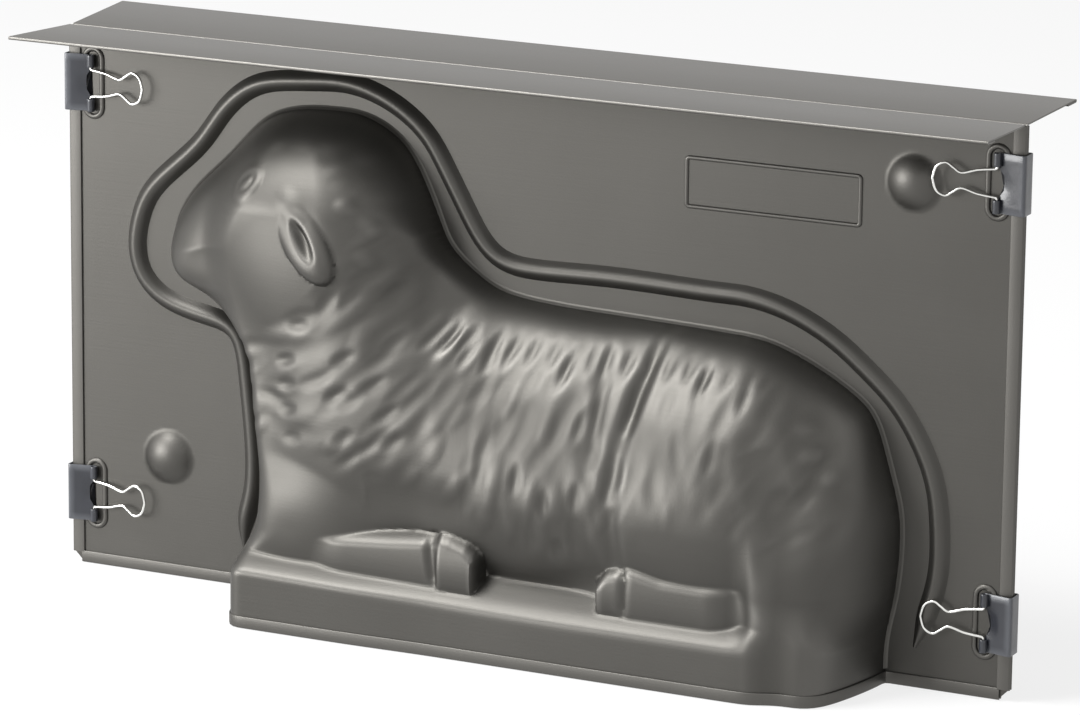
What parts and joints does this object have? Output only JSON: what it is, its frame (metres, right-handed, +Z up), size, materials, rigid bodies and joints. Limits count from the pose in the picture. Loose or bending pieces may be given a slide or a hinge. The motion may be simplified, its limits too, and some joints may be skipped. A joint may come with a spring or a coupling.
{
  "type": "lamb cake mould",
  "caption": "Two-part sheet metal cake mould for a reclining lamb, with open base, turned-out feet at the top edge and foldback clips at the sides.",
  "frame": {"origin": "middle of the bottom rim, on the plane where the two halves meet", "axes": "+Z up with the lamb upright, +X towards the lamb's tail, -Y towards the viewer, who sees the lamb look to the left"},
  "size_m": [0.3398, 0.0888, 0.1846],
  "materials": {
    "coated_sheet": "satin dark grey non-stick coating",
    "clip_enamel": "gloss blue-black enamel on spring steel",
    "lever_nickel": "bright nickel-plated spring wire"
  },
  "bodies": {
    "mould": {"front_shell": "coated_sheet", "rear_shell": "coated_sheet"},
    "clip_lower_left": {"clip_lower_left": "clip_enamel"},
    "lever_lower_left_front": {"lever_lower_left_front": "lever_nickel"},
    "lever_lower_left_rear": {"lever_lower_left_rear": "lever_nickel"},
    "clip_lower_right": {"clip_lower_right": "clip_enamel"},
    "lever_lower_right_front": {"lever_lower_right_front": "lever_nickel"},
    "lever_lower_right_rear": {"lever_lower_right_rear": "lever_nickel"},
    "clip_upper_left": {"clip_upper_left": "clip_enamel"},
    "lever_upper_left_front": {"lever_upper_left_front": "lever_nickel"},
    "lever_upper_left_rear": {"lever_upper_left_rear": "lever_nickel"},
    "clip_upper_right": {"clip_upper_right": "clip_enamel"},
    "lever_upper_right_front": {"lever_upper_right_front": "lever_nickel"},
    "lever_upper_right_rear": {"lever_upper_right_rear": "lever_nickel"}
  },
  "joints": [
    {"name": "clip_lower_left_pull", "type": "slide", "parent": "mould", "child": "clip_lower_left", "axis": [-1, 0, 0], "range_m": [0, 0.035], "deforming": ["clip_lower_left"]},
    {"name": "lever_lower_left_front_flip", "type": "hinge", "parent": "clip_lower_left", "child": "lever_lower_left_front", "pos_m": [-0.15965, -0.0022, 0.02452], "axis": [0, 0, -1], "range_deg": [0, 163]},
    {"name": "lever_lower_left_rear_flip", "type": "hinge", "parent": "clip_lower_left", "child": "lever_lower_left_rear", "pos_m": [-0.15965, 0.0022, 0.02452], "axis": [0, 0, 1], "range_deg": [0, 163]},
    {"name": "clip_lower_right_pull", "type": "slide", "parent": "mould", "child": "clip_lower_right", "axis": [1, 0, 0], "range_m": [0, 0.035], "deforming": ["clip_lower_right"]},
    {"name": "lever_lower_right_front_flip", "type": "hinge", "parent": "clip_lower_right", "child": "lever_lower_right_front", "pos_m": [0.15965, -0.0022, 0.02452], "axis": [0, 0, 1], "range_deg": [0, 163]},
    {"name": "lever_lower_right_rear_flip", "type": "hinge", "parent": "clip_lower_right", "child": "lever_lower_right_rear", "pos_m": [0.15965, 0.0022, 0.02452], "axis": [0, 0, -1], "range_deg": [0, 163]},
    {"name": "clip_upper_left_pull", "type": "slide", "parent": "mould", "child": "clip_upper_left", "axis": [-1, 0, 0], "range_m": [0, 0.035], "deforming": ["clip_upper_left"]},
    {"name": "lever_upper_left_front_flip", "type": "hinge", "parent": "clip_upper_left", "child": "lever_upper_left_front", "pos_m": [-0.15965, -0.0022, 0.16415], "axis": [0, 0, -1], "range_deg": [0, 163]},
    {"name": "lever_upper_left_rear_flip", "type": "hinge", "parent": "clip_upper_left", "child": "lever_upper_left_rear", "pos_m": [-0.15965, 0.0022, 0.16415], "axis": [0, 0, 1], "range_deg": [0, 163]},
    {"name": "clip_upper_right_pull", "type": "slide", "parent": "mould", "child": "clip_upper_right", "axis": [1, 0, 0], "range_m": [0, 0.035], "deforming": ["clip_upper_right"]},
    {"name": "lever_upper_right_front_flip", "type": "hinge", "parent": "clip_upper_right", "child": "lever_upper_right_front", "pos_m": [0.15965, -0.0022, 0.16415], "axis": [0, 0, 1], "range_deg": [0, 163]},
    {"name": "lever_upper_right_rear_flip", "type": "hinge", "parent": "clip_upper_right", "child": "lever_upper_right_rear", "pos_m": [0.15965, 0.0022, 0.16415], "axis": [0, 0, -1], "range_deg": [0, 163]}
  ]
}
